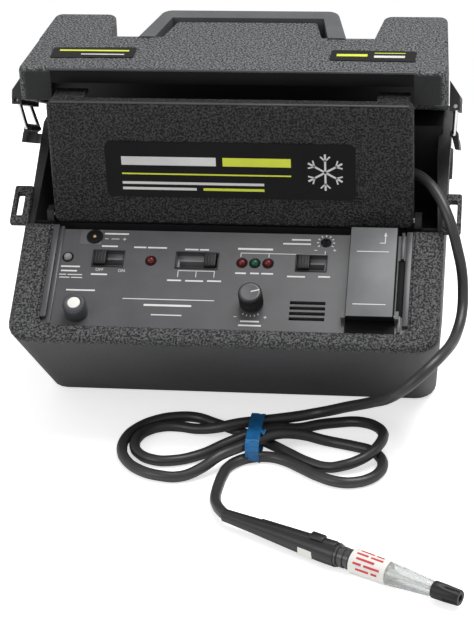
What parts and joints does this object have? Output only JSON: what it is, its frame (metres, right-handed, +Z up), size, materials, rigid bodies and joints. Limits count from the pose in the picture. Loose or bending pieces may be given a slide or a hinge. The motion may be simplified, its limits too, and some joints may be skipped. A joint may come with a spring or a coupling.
{
  "type": "refrigerant leak detector",
  "caption": "Portable refrigerant leak detector: sloped control panel in a tub, drop-front storage bay, carrying lid with latches, and a hand probe on a coiled hose.",
  "frame": {"origin": "on the floor under the middle of the case", "axes": "+X to the right of a person at the panel, +Y to the back, +Z up"},
  "size_m": [0.2796, 0.3299, 0.2075],
  "materials": {
    "textured_black": "moulded texture",
    "panel_grey": "satin",
    "textured_grey": "moulded texture",
    "print_black": "glossy film",
    "steel": "plain",
    "bright_wire": "bright",
    "black_plastic": "satin",
    "grey_plastic": "satin",
    "trimmer_gold": "plain",
    "blue_plastic": "satin",
    "red_lens": "clear red",
    "green_lens": "clear green",
    "clear_lens": "clear",
    "white_plastic": "smooth",
    "board_green": "coated",
    "battery_case": "satin",
    "hose_rubber": "matt",
    "tie_blue": "flat"
  },
  "bodies": {
    "case": {"base_tub": "textured_black", "control_panel": "panel_grey", "storage_tray": "textured_black", "lid_hinge_pins": "steel", "power_switch": "grey_plastic", "leak_size_switch": "grey_plastic", "mode_switch": "grey_plastic", "balance_pot": "grey_plastic", "heater_trimmer_body": "blue_plastic", "low_battery_led": "red_lens", "cal_low_led": "red_lens", "cal_ok_led": "green_lens", "cal_high_led": "red_lens", "charge_led": "clear_lens", "charger_jack": "black_plastic", "calibration_port": "black_plastic", "reference_wick": "white_plastic", "sensor_cover_pin": "steel", "sensor_holder": "white_plastic", "sensor_element": "trimmer_gold", "speaker": "black_plastic", "circuit_board": "board_green", "battery_pack": "battery_case", "air_pump": "grey_plastic", "pump_motor": "steel", "pump_tube": "clear_lens", "hose_gland": "black_plastic", "panel_screws": "steel", "hose_lead": "hose_rubber", "hose_hank": "hose_rubber", "hose_tail": "hose_rubber", "twist_tie": "tie_blue", "probe_body": "black_plastic", "probe_window": "white_plastic", "probe_collar": "black_plastic", "tip_band": "white_plastic", "tip_guard": "clear_lens", "probe_nozzle": "black_plastic"},
    "front_cover": {"front_cover": "textured_black", "cover_label": "print_black", "cover_hinge_pins": "steel"},
    "lid": {"lid": "textured_grey", "lid_label_left": "print_black", "lid_label_right": "print_black"},
    "bail_left": {"latch_bail_left": "bright_wire"},
    "bail_right": {"latch_bail_right": "bright_wire"},
    "lever_left": {"latch_lever_left": "black_plastic"},
    "lever_right": {"latch_lever_right": "black_plastic"},
    "power_slider": {"power_slider": "black_plastic"},
    "leak_size_slider": {"leak_size_slider": "black_plastic"},
    "mode_slider": {"mode_slider": "black_plastic"},
    "balance_knob": {"balance_knob": "black_plastic"},
    "heater_trimmer": {"heater_trimmer": "trimmer_gold"},
    "sensor_cover": {"sensor_cover": "black_plastic"}
  },
  "joints": [
    {"name": "lid_hinge", "type": "hinge", "parent": "case", "child": "lid", "pos_m": [0, 0.0893, 0.1502], "axis": [-1, 0, 0], "range_deg": [0, 100]},
    {"name": "front_cover_hinge", "type": "hinge", "parent": "case", "child": "front_cover", "pos_m": [0, -0.0165, 0.1187], "axis": [1, 0, 0], "range_deg": [0, 60]},
    {"name": "bail_left_hinge", "type": "hinge", "parent": "lid", "child": "bail_left", "pos_m": [-0.13, 0.009, 0.18073], "axis": [0, 0.9082, -0.4186], "range_deg": [0, 90]},
    {"name": "bail_right_hinge", "type": "hinge", "parent": "lid", "child": "bail_right", "pos_m": [0.13, 0.009, 0.18073], "axis": [0, -0.9082, 0.4186], "range_deg": [0, 90]},
    {"name": "lever_left_hinge", "type": "hinge", "parent": "bail_left", "child": "lever_left", "pos_m": [-0.1285, 0.01612, 0.16034], "axis": [0, 0.9082, -0.4186], "range_deg": [0, 80]},
    {"name": "lever_right_hinge", "type": "hinge", "parent": "bail_right", "child": "lever_right", "pos_m": [0.1285, 0.01612, 0.16034], "axis": [0, -0.9082, 0.4186], "range_deg": [0, 80]},
    {"name": "power_slide", "type": "slide", "parent": "case", "child": "power_slider", "axis": [1, 0, 0], "range_m": [0, 0.0092]},
    {"name": "leak_size_slide", "type": "slide", "parent": "case", "child": "leak_size_slider", "axis": [1, 0, 0], "range_m": [-0.0158, 0]},
    {"name": "mode_slide", "type": "slide", "parent": "case", "child": "mode_slider", "axis": [1, 0, 0], "range_m": [0, 0.0088]},
    {"name": "balance_turn", "type": "hinge", "parent": "case", "child": "balance_knob", "pos_m": [0.016, -0.06616, 0.09009], "axis": [0, -0.515, 0.8572], "range_deg": [-140, 140]},
    {"name": "heater_turn", "type": "hinge", "parent": "case", "child": "heater_trimmer", "pos_m": [0.0562, -0.02981, 0.11192], "axis": [0, -0.515, 0.8572], "range_deg": [-120, 120]},
    {"name": "sensor_cover_hinge", "type": "hinge", "parent": "case", "child": "sensor_cover", "pos_m": [0.0849, -0.07286, 0.08454], "axis": [1, 0, 0], "range_deg": [0, 60]}
  ]
}
